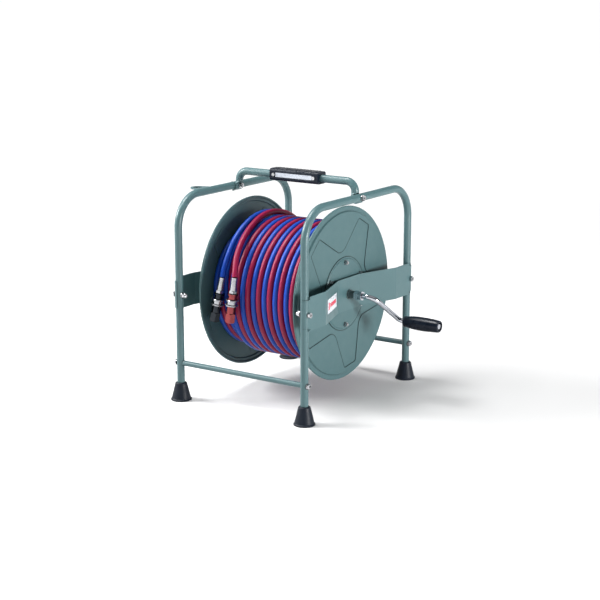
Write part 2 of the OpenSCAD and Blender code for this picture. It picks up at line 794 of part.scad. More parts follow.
module flange_washers() {
    color(zinc) placed() translate([0, 0, axis_z]) both_sides() screw_places()
        translate([boss_outer_x, 0, 0]) towards_x() pipe(10, screw_d, screw_washer_t);
}

module flange_nuts() {
    color(zinc) placed() translate([0, 0, axis_z]) both_sides() screw_places()
        translate([boss_outer_x + screw_washer_t, 0, 0]) towards_x() difference() {
            hex_prism(screw_af, screw_nut_h);
            translate([0, 0, -eps]) cylinder(d = screw_d, h = screw_nut_h + 1, $fn = 32);
        }
}

// Strap that clamps the inner ends of both hoses against the inside of the core
module hose_anchor() {
    spread = 13;
    r_out = core_r - drum_sheet - seat;
    r_hose = r_out - hose_d / 2 - 0.25;
    strap_in = r_hose - hose_d / 2 - 2;
    strap_out = r_hose - 2.5;
    strap_x = hose_d + pair_gap - 0.1;
    color(zinc) placed() translate([anchor_x, 0, axis_z]) rotate([-58, 0, 0]) rotate([0, -90, 0])
        difference() {
            rotate([0, 0, -spread / 2]) rotate_extrude(angle = spread, $fn = 128)
                polygon([[strap_in, -strap_x], [strap_out, -strap_x], [strap_out, strap_x + 0.6],
                    [r_out, strap_x + 0.6], [r_out, strap_x + 7.6], [strap_in, strap_x + 7.6]]);
            for (i = [-1, 1])
                translate([0, 0, i * (hose_d + pair_gap) / 2]) rotate([0, 0, -spread])
                    rotate_extrude(angle = 2 * spread, $fn = 128)
                        translate([r_hose, 0]) circle(d = hose_d, $fn = 48);
        }
}

// ---- hoses

module hose_winding() {
    color(hose_blue) placed() translate([0, 0, axis_z]) towards_x() rotate_extrude($fn = 128)
        polygon([[core_r + seat, -wind_in_x], [wind_lower_r, -wind_in_x], [wind_lower_r, wind_step_x],
            [wind_outer_r, wind_step_x], [wind_outer_r, wind_in_x], [core_r + seat, wind_in_x]]);
}

// Ring of points round p, square to the direction t, with its first point away from X
function ring_of(p, t, r, sides) =
    let (n = unit(cross(t, [1, 0, 0])), b = cross(n, t))
    [for (i = [0:sides - 1]) p + r * (cos(360 * i / sides) * n + sin(360 * i / sides) * b)];

module hose_tube(points) {
    sides = 12;
    count = len(points);
    rings = [for (i = [0:count - 1])
        ring_of(points[i], unit(points[min(i + 1, count - 1)] - points[max(i - 1, 0)]), hose_d / 2, sides)];
    polyhedron(
        points = [for (ring = rings, p = ring) p],
        faces = concat(
            [[for (i = [sides - 1:-1:0]) i]],
            [for (k = [0:count - 2], i = [0:sides - 1])
                [k * sides + i, k * sides + (i + 1) % sides,
                    (k + 1) * sides + (i + 1) % sides, (k + 1) * sides + i]],
            [[for (i = [0:sides - 1]) (count - 1) * sides + i]]));
}

module blue_hose_end() {
    color(hose_blue) placed() hose_tube([for (p = blue_points) on_axis(p)]);
}

module red_hose_end() {
    color(hose_red) placed() hose_tube([for (p = red_points) on_axis(p)]);
}

// Puts the children's +Z along a coupling, from the hose's end
module on_blue() { placed() along(on_axis(last(blue_points)), on_axis(blue_end)) children(); }
module on_red() { placed() along(on_axis(last(red_points)), on_axis(red_end)) children(); }

module ferrule() {
    crimps = 4;
    difference() {
        cylinder(d = ferrule_d, h = ferrule_l, $fn = 64);
        for (i = [0:crimps - 1])
            translate([0, 0, 3 + 2.8 * i]) difference() {
                cylinder(d = ferrule_d + 2, h = 1, $fn = 64);
                translate([0, 0, -1]) cylinder(d = ferrule_d - 0.7, h = 3, $fn = 64);
            }
    }
}

module hose_tail() {
    translate([0, 0, ferrule_l]) {
        cylinder(d = ferrule_d + 0.6, h = 11.5, $fn = 64);
        translate([0, 0, 11.5]) hex_prism(14.6, tail_body_l - 11.5);
        cylinder(d = tail_spigot_d, h = tail_body_l + tail_spigot_l, $fn = 48);
    }
}

module socket() {
    collar_z = ferrule_l + tail_body_l + seat;
    stop_z = ring_start + ring_l + 0.1;
    spigot_d = 11;
    difference() {
        union() {
            translate([0, 0, collar_z]) cylinder(d = collar_d, h = collar_l, $fn = 64);
            translate([0, 0, collar_z]) cylinder(d = neck_d, h = stop_z - collar_z, $fn = 64);
            translate([0, 0, stop_z]) cylinder(d = front_d, h = nut_start - stop_z - 0.2, $fn = 64);
            translate([0, 0, nut_start - 1]) cylinder(d = spigot_d, h = union_wall + 1.4, $fn = 64);
            translate([0, 0, nut_start + union_wall + 0.2]) cylinder(d = 14, h = 3, $fn = 64);
        }
        translate([0, 0, collar_z - 1])
            cylinder(r = tail_spigot_d / 2 + seat, h = tail_spigot_l + 1.2, $fn = 48);
        translate([0, 0, collar_z]) cylinder(d = socket_bore_d, h = coupling_l, $fn = 48);
    }
}

module slide_ring() {
    groove = ring_l - 7;
    difference() {
        rotate_extrude($fn = 96) polygon([[neck_d / 2 + ring_gap, ring_start],
            [ring_d / 2 - 1, ring_start], [ring_d / 2, ring_start + 1], [ring_d / 2, ring_start + 2.8],
            [ring_d / 2 - 2.6, ring_start + 3.6], [ring_d / 2 - 2.6, ring_start + 3.6 + groove - 0.6],
            [ring_d / 2, ring_start + 4 + groove], [ring_d / 2, ring_start + ring_l - 0.8],
            [ring_d / 2 - 0.8, ring_start + ring_l], [neck_d / 2 + ring_gap, ring_start + ring_l]]);
    }
}

module union_nut() {
    relief_l = union_wall + 3.5;
    translate([0, 0, nut_start]) difference() {
        intersection() {
            hex_prism(union_af, coupling_l - nut_start);
            rotate_extrude($fn = 96) polygon([[0, 0], [union_af / 2 - 0.6, 0], [union_af / cos(30) / 2, 1.6],
                [union_af / cos(30) / 2, coupling_l - nut_start - 1.6],
                [union_af / 2 - 0.2, coupling_l - nut_start], [0, coupling_l - nut_start]]);
        }
        translate([0, 0, -1]) cylinder(d = 11.3, h = union_wall + 1.2, $fn = 64);
        translate([0, 0, union_wall])
            cylinder(d = union_bore_d - 0.4, h = relief_l - union_wall + eps, $fn = 64);
        translate([0, 0, relief_l]) cylinder(d = union_bore_d, h = coupling_l, $fn = 64);
    }
}

module blue_ferrule() { color(zinc) on_blue() ferrule(); }
module blue_hose_tail() { color(zinc) on_blue() hose_tail(); }
module blue_socket() { color(black_chrome) on_blue() socket(); }
module blue_slide_ring() { color(zinc) on_blue() slide_ring(); }
module blue_union_nut() { color(black_chrome) on_blue() union_nut(); }
module red_ferrule() { color(zinc) on_red() ferrule(); }
module red_hose_tail() { color(zinc) on_red() hose_tail(); }
module red_socket() { color(copper_tone) on_red() socket(); }
module red_slide_ring() { color(zinc) on_red() slide_ring(); }
module red_union_nut() { color(copper_tone) on_red() union_nut(); }

left_frame_tube();
right_frame_tube();
front_cross_bar();
rear_cross_bar();
left_front_foot();
left_rear_foot();
right_front_foot();
right_rear_foot();
left_bearing_plate();
right_bearing_plate();
plate_bolts();
plate_cap_nuts();
cross_bar_bolts();
cross_bar_washers();
left_bush();
right_bush();
carry_handle_tube();
front_grip_shell();
rear_grip_shell();
grip_name_strip();
grip_screws();
handle_bolts();
handle_nuts();
handle_washers();
hook_eye();
plate_label();
drum_core();
left_flange();
right_flange();
left_hub();
right_hub();
axle();
axle_end_nut();
axle_washer();
crank_sleeve();
crank_nuts();
crank_rod();
grip_end_screw();
crank_grip();
flange_screws();
flange_nuts();
flange_washers();
hose_anchor();
hose_winding();
blue_hose_end();
red_hose_end();
blue_ferrule();
blue_hose_tail();
blue_socket();
blue_slide_ring();
blue_union_nut();
red_ferrule();
red_hose_tail();
red_socket();
red_slide_ring();
red_union_nut();
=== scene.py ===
"""A twin-line hose reel on a carry stand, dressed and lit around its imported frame.

The stand, drum, crank and couplings are the frame's own parts, and each gets a worked
finish. The two wound hoses, and small repeated details such as knurls, threads, moulded
ribs and weld beads, are grown here with Geometry Nodes. Everything is in metres, with +X
along the drum's axis towards the crank, -Y at the front and +Z up.
"""

import json
import logging
import math
from dataclasses import dataclass, field
from enum import Enum
from typing import Any, Iterable, Sequence

import bpy
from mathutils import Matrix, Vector


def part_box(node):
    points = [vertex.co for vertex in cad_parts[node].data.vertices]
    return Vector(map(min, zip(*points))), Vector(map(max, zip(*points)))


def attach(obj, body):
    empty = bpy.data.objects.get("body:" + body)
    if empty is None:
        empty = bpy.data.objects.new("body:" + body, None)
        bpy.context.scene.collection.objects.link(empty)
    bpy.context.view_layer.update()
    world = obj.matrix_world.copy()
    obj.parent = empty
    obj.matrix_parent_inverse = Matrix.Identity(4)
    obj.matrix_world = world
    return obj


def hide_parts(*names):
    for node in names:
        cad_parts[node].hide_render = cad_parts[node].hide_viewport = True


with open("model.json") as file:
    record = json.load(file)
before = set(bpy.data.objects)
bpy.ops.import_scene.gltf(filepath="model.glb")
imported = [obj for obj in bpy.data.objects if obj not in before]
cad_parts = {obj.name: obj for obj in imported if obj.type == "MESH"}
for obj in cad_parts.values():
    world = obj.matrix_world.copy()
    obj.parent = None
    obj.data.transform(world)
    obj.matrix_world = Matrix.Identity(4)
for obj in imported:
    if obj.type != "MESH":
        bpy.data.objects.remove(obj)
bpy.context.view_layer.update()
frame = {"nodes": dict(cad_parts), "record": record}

LOG = logging.getLogger("hose_reel")
MM = 0.001
AXIS_Z = 221.5 * MM  # height of the drum's axis
COVER = "cover"  # attribute: a hose laid out straight, as x and y across it and z along it
CORNER_SAMPLES = 6  # rays for each look into a corner
SEED = 7
RIPPLE_SIZES = (0.85, 1.1)  # the smallest and largest ripple of a weld, as a share

Colour = tuple[float, float, float]
Socket = bpy.types.NodeSocket
SIDES = ("left", "right")


class Body(str, Enum):
    """The bodies that move apart from each other."""

    STAND = "stand"
    DRUM = "drum"
    CRANK_HANDLE = "crank_handle"
    BLUE_RING = "blue_ring"
    BLUE_NUT = "blue_nut"
    RED_RING = "red_ring"
    RED_NUT = "red_nut"


class Slot(str, Enum):
    """The finishes that a repaint can change."""

    FRAME_PAINT = "frame_paint"
    DRUM_PAINT = "drum_paint"
    FOOT_RUBBER = "foot_rubber"
    ZINC = "zinc_plate"
    BUSH = "bush_plastic"
    GRIP = "grip_plastic"
    NAME_STRIP = "name_strip"
    LABEL = "label"
    SLEEVE = "sleeve_finish"
    CHROME = "chrome"
    BLUE_HOSE = "blue_hose"
    RED_HOSE = "red_hose"
    NICKEL = "coupling_plate"
    BLACK = "black_plate"
    COPPER = "copper_plate"


class Line(Enum):
    """The two hose lines of the reel."""

    BLUE = "blue"
    RED = "red"


# ---- node trees


def shade(colour: Colour, factor: float) -> Colour:
    """Returns the colour made lighter or darker by a factor."""
    return tuple(min(1.0, channel * factor) for channel in colour)


class NodeGraph:
    """A node tree under construction, with a short call for each node."""

    tree: bpy.types.NodeTree

    def add(self, kind: str, inputs: dict[Any, Any] | None = None, **settings: Any) -> bpy.types.Node:
        """Adds a node, sets its properties, and sets or links its inputs.

        Args:
            kind: The node's type.
            inputs: Input name or number to a value or to another node's output.
            **settings: Properties of the node.

        Returns:
            The new node.
        """
        node = self.tree.nodes.new(kind)
        for name, value in settings.items():
            setattr(node, name, value)
        for key, value in (inputs or {}).items():
            self.feed(node.inputs[key], value)
        return node

    def feed(self, socket: Socket, value: Any) -> None:
        """Links an output to the socket, or sets the socket's own value."""
        if isinstance(value, Socket):
            self.tree.links.new(value, socket)
        else:
            socket.default_value = value

    def math(self, operation: str, *values: Any) -> Socket:
        """Returns the result of a Math node on the values."""
        return self.add("ShaderNodeMath", dict(enumerate(values)), operation=operation).outputs[0]


class ShaderGraph(NodeGraph):
    """Builds one material around a Principled shader."""

    def __init__(self, name: str) -> None:
        """Starts a material with its shader and output joined.

        Args:
            name: The material's name.
        """
        self.material = bpy.data.materials.new(name)
        self.material.use_nodes = True
        self.tree = self.material.node_tree
        self.tree.nodes.clear()
        output = self.tree.nodes.new("ShaderNodeOutputMaterial")
        self.surface = self.tree.nodes.new("ShaderNodeBsdfPrincipled")
        self.tree.links.new(self.surface.outputs["BSDF"], output.inputs["Surface"])
        self.place = self.tree.nodes.new("ShaderNodeTexCoord").outputs["Object"]

    def set(self, **values: Any) -> None:
        """Sets or links the shader's own sockets, named with underscores for spaces."""
        for name, value in values.items():
            label = name.replace("_", " ").title().replace("Ior", "IOR")
            is_colour = isinstance(value, tuple) and len(value) == 3
            self.feed(self.surface.inputs[label], (*value, 1.0) if is_colour else value)

    def noise(
        self, scale: float, detail: float = 2.0, rough: float = 0.5, where: Socket | None = None
    ) -> Socket:
        """Returns a noise of the given scale, from 0 to 1.

        Args:
            scale: How many features there are to a metre.
            detail: How many finer layers are added.
            rough: How strong the finer layers are.
            where: The coordinates to read, or None for the object's.

        Returns:
            The noise's output.
        """
        inputs = {"Vector": where or self.place, "Scale": scale, "Detail": detail, "Roughness": rough}
        return self.add("ShaderNodeTexNoise", inputs).outputs[0]

    def stretched(self, factors: Sequence[float]) -> Socket:
        """Returns the object's coordinates multiplied by factors."""
        inputs = {0: self.place, 1: tuple(factors)}
        return self.add("ShaderNodeVectorMath", inputs, operation="MULTIPLY").outputs[0]

    def openness(self, reach: float) -> Socket:
        """Returns 1 in the open and less where another surface is within reach, as in a corner."""
        node = self.add("ShaderNodeAmbientOcclusion", {"Distance": reach}, samples=CORNER_SAMPLES)
        return node.outputs["AO"]

    def spread(
        self, value: Socket, low: float, high: float, start: float = 0.3, end: float = 0.7
    ) -> Socket:
        """Returns a value carried from start..end to low..high, clamped."""
        inputs = {"Value": value, "From Min": start, "From Max": end, "To Min": low, "To Max": high}
        return self.add("ShaderNodeMapRange", inputs).outputs[0]

    def blend(self, factor: Any, low: Any, high: Any) -> Socket:
        """Returns a colour between two colours or colour outputs."""
        ends = [(*c, 1.0) if isinstance(c, tuple) and len(c) == 3 else c for c in (low, high)]
        inputs = {"Factor": factor, "A": ends[0], "B": ends[1]}
        return self.add("ShaderNodeMix", inputs, data_type="RGBA").outputs["Result"]

    def bump(self, height: Socket, distance: float, under: Socket | None = None) -> Socket:
        """Returns a normal raised by a height, on top of another bump if one is given."""
        inputs: dict[Any, Any] = {"Height": height, "Distance": distance, "Strength": 1.0}
        if under is not None:
            inputs["Normal"] = under
        return self.add("ShaderNodeBump", inputs).outputs[0]

    def parts(self, vector: Socket) -> tuple[Socket, Socket, Socket]:
        """Returns the three components of a vector."""
        split = self.add("ShaderNodeSeparateXYZ", {0: vector})
        return split.outputs[0], split.outputs[1], split.outputs[2]


class GrowthGraph(NodeGraph):
    """Builds one Geometry Nodes tree with named inputs, and grows plain meshes from it."""

    def __init__(self, name: str, sizes: dict[str, str]) -> None:
        """Starts a tree that takes geometry, sizes and a material.

        Args:
            name: The tree's name.
            sizes: Name of each size to the short type of its socket, such as Float.
        """
        self.tree = bpy.data.node_groups.new(name, "GeometryNodeTree")
        sockets = self.tree.interface
        for label, kind in {"Geometry": "Geometry", **sizes, "Material": "Material"}.items():
            sockets.new_socket(label, in_out="INPUT", socket_type=f"NodeSocket{kind}")
        sockets.new_socket("Geometry", in_out="OUTPUT", socket_type="NodeSocketGeometry")
        self.given = self.tree.nodes.new("NodeGroupInput").outputs
        self.result = self.tree.nodes.new("NodeGroupOutput")

    def vector(self, x: Any = 0.0, y: Any = 0.0, z: Any = 0.0) -> Socket:
        """Returns a vector put together from numbers or outputs."""
        return self.add("ShaderNodeCombineXYZ", {0: x, 1: y, 2: z}).outputs[0]

    def guide(self) -> Socket:
        """Returns the given guide points as a curve."""
        return self.add("GeometryNodeMeshToCurve", {0: self.given["Geometry"]}).outputs[0]

    def circle(self, sides: Any, radius: Any) -> Socket:
        """Returns a round section with the given number of sides."""
        inputs = {"Resolution": sides, "Radius": radius}
        return self.add("GeometryNodeCurvePrimitiveCircle", inputs, mode="RADIUS").outputs[0]

    def swept(self, curve: Socket, section: Socket, capped: bool) -> Socket:
        """Returns a section carried along a curve, with or without flat ends."""
        inputs = {"Curve": curve, "Profile Curve": section, "Fill Caps": capped}
        return self.add("GeometryNodeCurveToMesh", inputs).outputs[0]

    def captured(self, geometry: Socket, kind: str, value: Socket) -> tuple[Socket, Socket]:
        """Returns the geometry, and the value as it is on each of its points."""
        node = self.add("GeometryNodeCaptureAttribute", {0: geometry}, domain="POINT")
        node.capture_items.new(kind, "Value")
        self.feed(node.inputs[1], value)
        return node.outputs[0], node.outputs[1]

    def copies(self, points: Socket, piece: Socket, **turn_or_scale: Socket) -> Socket:
        """Returns a copy of the piece on each point."""
        inputs = {"Points": points, "Instance": piece, **turn_or_scale}
        return self.add("GeometryNodeInstanceOnPoints", inputs).outputs[0]

    def row(self, piece: Socket, **turn_or_scale: Socket) -> Socket:
        """Returns copies of the piece along the guide, one to each Pitch."""
        inputs = {0: self.guide(), "Length": self.given["Pitch"]}
        spots = self.add("GeometryNodeCurveToPoints", inputs, mode="LENGTH")
        return self.copies(spots.outputs[0], piece, **turn_or_scale)

    def laid(self, geometry: Socket) -> Socket:
        """Returns the geometry turned and shifted by the tree's Turn and Origin."""
        inputs = {0: geometry, "Translation": self.given["Origin"], "Rotation": self.given["Turn"]}
        return self.add("GeometryNodeTransform", inputs).outputs[0]

    def close(self, geometry: Socket, smooth: bool) -> None:
        """Ends the tree by realizing instances, setting the shading and the material.

        Args:
            geometry: The geometry made so far.
            smooth: Whether the faces are shaded smooth.
        """
        real = self.add("GeometryNodeRealizeInstances", {0: geometry})
        shaded = self.add("GeometryNodeSetShadeSmooth", {0: real.outputs[0], "Shade Smooth": smooth})
        inputs = {0: shaded.outputs[0], "Material": self.given["Material"]}
        dressed = self.add("GeometryNodeSetMaterial", inputs)
        self.feed(self.result.inputs[0], dressed.outputs[0])

    def grow(
        self,
        name: str,
        values: dict[str, Any],
        guide: Sequence[Vector] = (),
        edges: Sequence[tuple[int, int]] | None = None,
    ) -> bpy.types.Object:
        """Runs the tree once and keeps its result as a plain mesh object.

        Args:
            name: The piece's name.
            values: Each named input's value.
            guide: Points of the line that the tree follows, if it follows one.
            edges: Which points are joined, or None to join them in order.

        Returns:
            The new object, at the origin.
        """
        line = bpy.data.meshes.new(f"{name}_guide")
        joined = edges if edges is not None else [(i, i + 1) for i in range(len(guide) - 1)]
        line.from_pydata([tuple(p) for p in guide], joined, [])
        host = new_object(f"{name}_host", line)
        modifier = host.modifiers.new(self.tree.name, "NODES")
        modifier.node_group = self.tree
        for item in self.tree.interface.items_tree:
            if item.item_type == "SOCKET" and item.in_out == "INPUT" and item.name in values:
                modifier[item.identifier] = values[item.name]
        graph = bpy.context.evaluated_depsgraph_get()
        mesh = bpy.data.meshes.new_from_object(
            host.evaluated_get(graph), preserve_all_data_layers=True, depsgraph=graph
        )
        host.modifiers.remove(modifier)
        bpy.data.objects.remove(host)
        bpy.data.meshes.remove(line)
        mesh.name = name
        return new_object(name, mesh)


def new_object(name: str, data: Any) -> bpy.types.Object:
    """Makes an object from its data and links it to the scene.

    Args:
        name: The object's name.
        data: Its mesh, light or camera.

    Returns:
        The object.
    """
    made = bpy.data.objects.new(name, data)
    bpy.context.scene.collection.objects.link(made)
    return made


# ---- finishes


@dataclass(frozen=True)
class Enamel:
    """Stoved gloss enamel with a faint orange peel, soft cloudiness and painted shade in its corners."""

    name: str
    colour: Colour
    roughness: float = 0.38
    coat: float = 0.12
    cloud: float = 0.05
    peel: float = 0.05
    crease: float = 2.2 * MM

    def build(self) -> bpy.types.Material:
        """Returns the enamel's material."""
        graph = ShaderGraph(self.name)
        cloud = graph.noise(14.0, 4.0, 0.6)
        dust = graph.noise(1400.0, 2.0)
        toned = graph.blend(cloud, shade(self.colour, 1 - self.cloud), shade(self.colour, 1 + self.cloud))
        dusty = graph.spread(dust, 0.0, 0.10, 0.62, 0.74)
        speckled = graph.blend(dusty, toned, shade(self.colour, 0.55))
        # painted shade: the colour darkens towards near black where another surface is close, as in corners
        # and creases
        corner_shade = graph.spread(graph.openness(self.crease), 0.85, 0.0, 0.35, 0.95)
        peel = graph.bump(graph.noise(420.0, 1.0), self.peel * MM)
        scratch = graph.noise(1.0, 3.0, 0.6, graph.stretched((900.0, 60.0, 25.0)))
        worn = graph.noise(55.0, 3.0)
        graph.set(
            base_color=graph.blend(corner_shade, speckled, shade(self.colour, 0.12)),
            roughness=graph.spread(worn, self.roughness - 0.05, self.roughness + 0.07),
            normal=graph.bump(scratch, 0.012 * MM, peel),
            specular_ior_level=0.3,
            coat_weight=self.coat,
            coat_roughness=0.16,
        )
        return graph.material


@dataclass(frozen=True)
class MouldedBlack:
    """Moulded black rubber or plastic with a fine grain and worn, duller patches."""

    name: str
    colour: Colour
    roughness: float
    grain: float
    grain_scale: float = 1300.0
    shine: float = 0.16

    def build(self) -> bpy.types.Material:
        """Returns the moulding's material."""
        graph = ShaderGraph(self.name)
        patches = graph.noise(70.0, 3.0, 0.6)
        grain = graph.noise(self.grain_scale, 2.0)
        graph.set(
            base_color=graph.blend(patches, shade(self.colour, 0.8), shade(self.colour, 1.3)),
            roughness=graph.spread(patches, self.roughness - 0.06, self.roughness + 0.08),
            normal=graph.bump(grain, self.grain * MM),
            specular_ior_level=self.shine,
        )
        return graph.material


@dataclass(frozen=True)
class Plating:
    """Plated steel or brass: bright, with fine turning marks, faint hazy patches and painted shade in its
    corners.
    """

    name: str
    colour: Colour
    roughness: float
    marks: float = 0.006
    haze: float = 0.08
    tint: Colour = (1.0, 1.0, 1.0)
    crease: float = 2.5 * MM

    def build(self) -> bpy.types.Material:
        """Returns the plating's material."""
        graph = ShaderGraph(self.name)
        haze = graph.noise(95.0, 4.0, 0.65)
        marks = graph.noise(1.0, 3.0, 0.7, graph.stretched((260.0, 1500.0, 1500.0)))
        warm = tuple(c * t for c, t in zip(self.colour, self.tint))
        toned = graph.blend(graph.spread(haze, 0.0, 1.0), self.colour, shade(warm, 0.9))
        # painted shade: the colour darkens where another surface is close, as in corners
        shadowed = graph.spread(graph.openness(self.crease), 0.95, 0.0, 0.30, 0.90)
        graph.set(
            base_color=graph.blend(shadowed, toned, shade(warm, 0.10)),
            metallic=1.0,
            roughness=graph.spread(haze, self.roughness, self.roughness + self.haze),
            normal=graph.bump(marks, self.marks * MM),
        )
        return graph.material


@dataclass(frozen=True)
class Nylon:
    """Natural nylon of the bearing bushes, slightly yellowed and waxy."""

    name: str
    colour: Colour

    def build(self) -> bpy.types.Material:
        """Returns the nylon's material."""
        graph = ShaderGraph(self.name)
        clouds = graph.noise(240.0, 3.0)
        graph.set(
            base_color=graph.blend(clouds, shade(self.colour, 0.93), shade(self.colour, 1.05)),
            roughness=graph.spread(clouds, 0.42, 0.55),
            normal=graph.bump(graph.noise(1800.0, 1.0), 0.02 * MM),
            subsurface_weight=0.1,
        )
        return graph.material


@dataclass(frozen=True)
class SatinStrip:
    """Satin aluminium strip, brushed along its length, with no lettering."""

    name: str
    colour: Colour

    def build(self) -> bpy.types.Material:
        """Returns the strip's material."""
        graph = ShaderGraph(self.name)
        brushed = graph.noise(1.0, 4.0, 0.7, graph.stretched((60.0, 5000.0, 5000.0)))
        graph.set(
            base_color=graph.blend(brushed, shade(self.colour, 0.9), shade(self.colour, 1.1)),
            metallic=0.85,
            roughness=graph.spread(brushed, 0.22, 0.4),
            normal=graph.bump(brushed, 0.01 * MM),
        )
        return graph.material


@dataclass(frozen=True)
class PrintedLabel:
    """White label with a plain red block and bar on it, on a sloping upright face."""

    name: str
    low: Vector
    high: Vector
    white: Colour = (0.50, 0.52, 0.56)
    red: Colour = (0.50, 0.015, 0.05)
    block: tuple[float, ...] = (0.08, 0.22, 0.24, 0.74)  # left, right, bottom and top shares
    bar: tuple[float, ...] = (0.27, 0.92, 0.34, 0.62)

    def inside(self, graph: ShaderGraph, across: Socket, up: Socket, box: Sequence[float]) -> Socket:
        """Returns 1 inside a box given as left, right, bottom and top shares, else 0."""
        left, right, bottom, top = box
        wide = graph.math(
            "MINIMUM", graph.math("GREATER_THAN", across, left), graph.math("LESS_THAN", across, right)
        )
        high = graph.math("MINIMUM", graph.math("GREATER_THAN", up, bottom), graph.math("LESS_THAN", up, top))
        return graph.math("MINIMUM", wide, high)

    def build(self) -> bpy.types.Material:
        """Returns the label's material."""
        graph = ShaderGraph(self.name)
        _, y, z = graph.parts(graph.place)
        across = graph.spread(y, 0.0, 1.0, self.low.y, self.high.y)
        up = graph.spread(z, 0.0, 1.0, self.low.z, self.high.z)
        marks = [self.inside(graph, across, up, box) for box in (self.block, self.bar)]
        paper = graph.blend(graph.noise(60.0, 3.0), shade(self.white, 0.97), shade(self.white, 1.02))
        ink = graph.blend(graph.noise(900.0, 2.0), shade(self.red, 0.92), shade(self.red, 1.06))
        graph.set(
            base_color=graph.blend(graph.math("MAXIMUM", *marks), paper, ink),
            roughness=graph.spread(graph.noise(120.0, 2.0), 0.22, 0.32),
            normal=graph.bump(graph.noise(700.0, 1.0), 0.01 * MM),
        )
        return graph.material


@dataclass(frozen=True)
class HoseCover:
    """Rubber hose cover with the fine diagonal mark that its cloth wrap leaves, and painted shade in the
    mark's grooves.
    """

    name: str
    colour: Colour
    starts: int = 6
    mark_pitch: float = 3.2 * MM
    weft: float = 0.3
    roughness: float = 0.40

    def build(self) -> bpy.types.Material:
        """Returns the hose cover's material."""
        graph = ShaderGraph(self.name)
        cover = graph.add("ShaderNodeAttribute", attribute_type="GEOMETRY", attribute_name=COVER)
        laid = cover.outputs["Vector"]
        x, y, along = graph.parts(laid)
        angle = graph.math("ARCTAN2", y, x)
        wound = graph.math("MULTIPLY", angle, float(self.starts))
        run = graph.math("MULTIPLY", along, 2 * math.pi / self.mark_pitch)
        twill = graph.math("SINE", graph.math("ADD", wound, run))
        weft = graph.math("SINE", graph.math("SUBTRACT", graph.math("MULTIPLY", wound, 3.0), run))
        cloth = graph.math(
            "ADD", graph.math("MULTIPLY", twill, 1 - self.weft), graph.math("MULTIPLY", weft, self.weft)
        )
        raised = graph.spread(cloth, 0.0, 1.0, -1.0, 1.0)
        patches = graph.noise(18.0, 3.0, 0.6)
        dull = graph.noise(260.0, 3.0, 0.6, laid)
        toned = graph.blend(patches, shade(self.colour, 0.88), shade(self.colour, 1.12))
        # painted shade: the sunken grooves of the mark are coloured darker
        groove_shade = graph.spread(raised, 0.28, 0.0, 0.0, 1.0)
        graph.set(
            base_color=graph.blend(groove_shade, toned, shade(self.colour, 0.45)),
            roughness=graph.spread(dull, self.roughness - 0.08, self.roughness + 0.12),
            normal=graph.bump(raised, 0.10 * MM, graph.bump(dull, 0.05 * MM)),
            specular_ior_level=0.3,
        )
        return graph.material


class Palette:
    """Every finish of the reel, built once and put on the frame's parts by slot."""

    def __init__(self) -> None:
        """Builds the finishes."""
        low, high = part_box("plate_label")
        finishes = {
            Slot.FRAME_PAINT: Enamel("grey_green_enamel", (0.056, 0.111, 0.119)),
            Slot.DRUM_PAINT: Enamel("drum_enamel", (0.050, 0.102, 0.109), roughness=0.44, coat=0.06),
            Slot.SLEEVE: Enamel("sleeve_enamel", (0.040, 0.062, 0.066), roughness=0.3),
            Slot.FOOT_RUBBER: MouldedBlack("foot_rubber", (0.006, 0.009, 0.015), 0.46, 0.06),
            Slot.GRIP: MouldedBlack("grip_plastic", (0.004, 0.007, 0.014), 0.28, 0.025, 1700.0, 0.2),
            Slot.ZINC: Plating("bright_zinc", (0.50, 0.51, 0.55), 0.22, tint=(1.0, 0.97, 0.90)),
            Slot.CHROME: Plating("polished_chrome", (0.58, 0.60, 0.65), 0.08, 0.002, 0.05),
            Slot.NICKEL: Plating("bright_nickel", (0.40, 0.41, 0.44), 0.16, tint=(1.0, 0.98, 0.94)),
            Slot.BLACK: Plating("black_nickel", (0.030, 0.034, 0.040), 0.10),
            Slot.COPPER: Plating("copper_plate", (0.25, 0.058, 0.062), 0.17, tint=(1.0, 0.9, 0.85)),
            Slot.BUSH: Nylon("bush_nylon", (0.72, 0.70, 0.62)),
            Slot.NAME_STRIP: SatinStrip("satin_strip", (0.50, 0.53, 0.59)),
            Slot.LABEL: PrintedLabel("printed_label", low, high),
            Slot.BLUE_HOSE: HoseCover("blue_hose_cover", (0.0012, 0.046, 0.34)),
            Slot.RED_HOSE: HoseCover("crimson_hose_cover", (0.235, 0.002, 0.040)),
        }
        self.materials = {slot: finish.build() for slot, finish in finishes.items()}
        parts = frame["record"]["subparts"]
        self.slot_of = {part["node"]: Slot(part["material_slot"]) for part in parts}

    def dress(self, nodes: Iterable[str]) -> None:
        """Puts each part's own finish on it.

        Args:
            nodes: The names of the frame's parts.
        """
        for node in nodes:
            part = frame["nodes"][node]
            finish = self.materials[self.slot_of[node]]
            if not part.material_slots:
                part.data.materials.append(finish)
            for slot in part.material_slots:
                slot.material = finish
            LOG.info("%s: %s", node, finish.name)


# ---- grown details


def laid_along(origin: Vector, direction: Vector) -> dict[str, tuple[float, ...]]:
    """Finds the inputs that lay a piece built along +Z on a line.

    Args:
        origin: Where the piece's own origin goes.
        direction: Where its +Z goes.

    Returns:
        The values of a tree's Origin and Turn.
    """
    turn = direction.normalized().to_track_quat("Z", "Y").to_euler()
    return {"Origin": tuple(origin), "Turn": tuple(turn)}


def settle(piece: bpy.types.Object, body: Body) -> None:
    """Puts a grown piece on its body, and reports it.

    Args:
        piece: The piece.
        body: The body that it moves with.
    """
    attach(piece, body.value)
    LOG.info("%s: %d faces on %s", piece.name, len(piece.data.polygons), body.value)


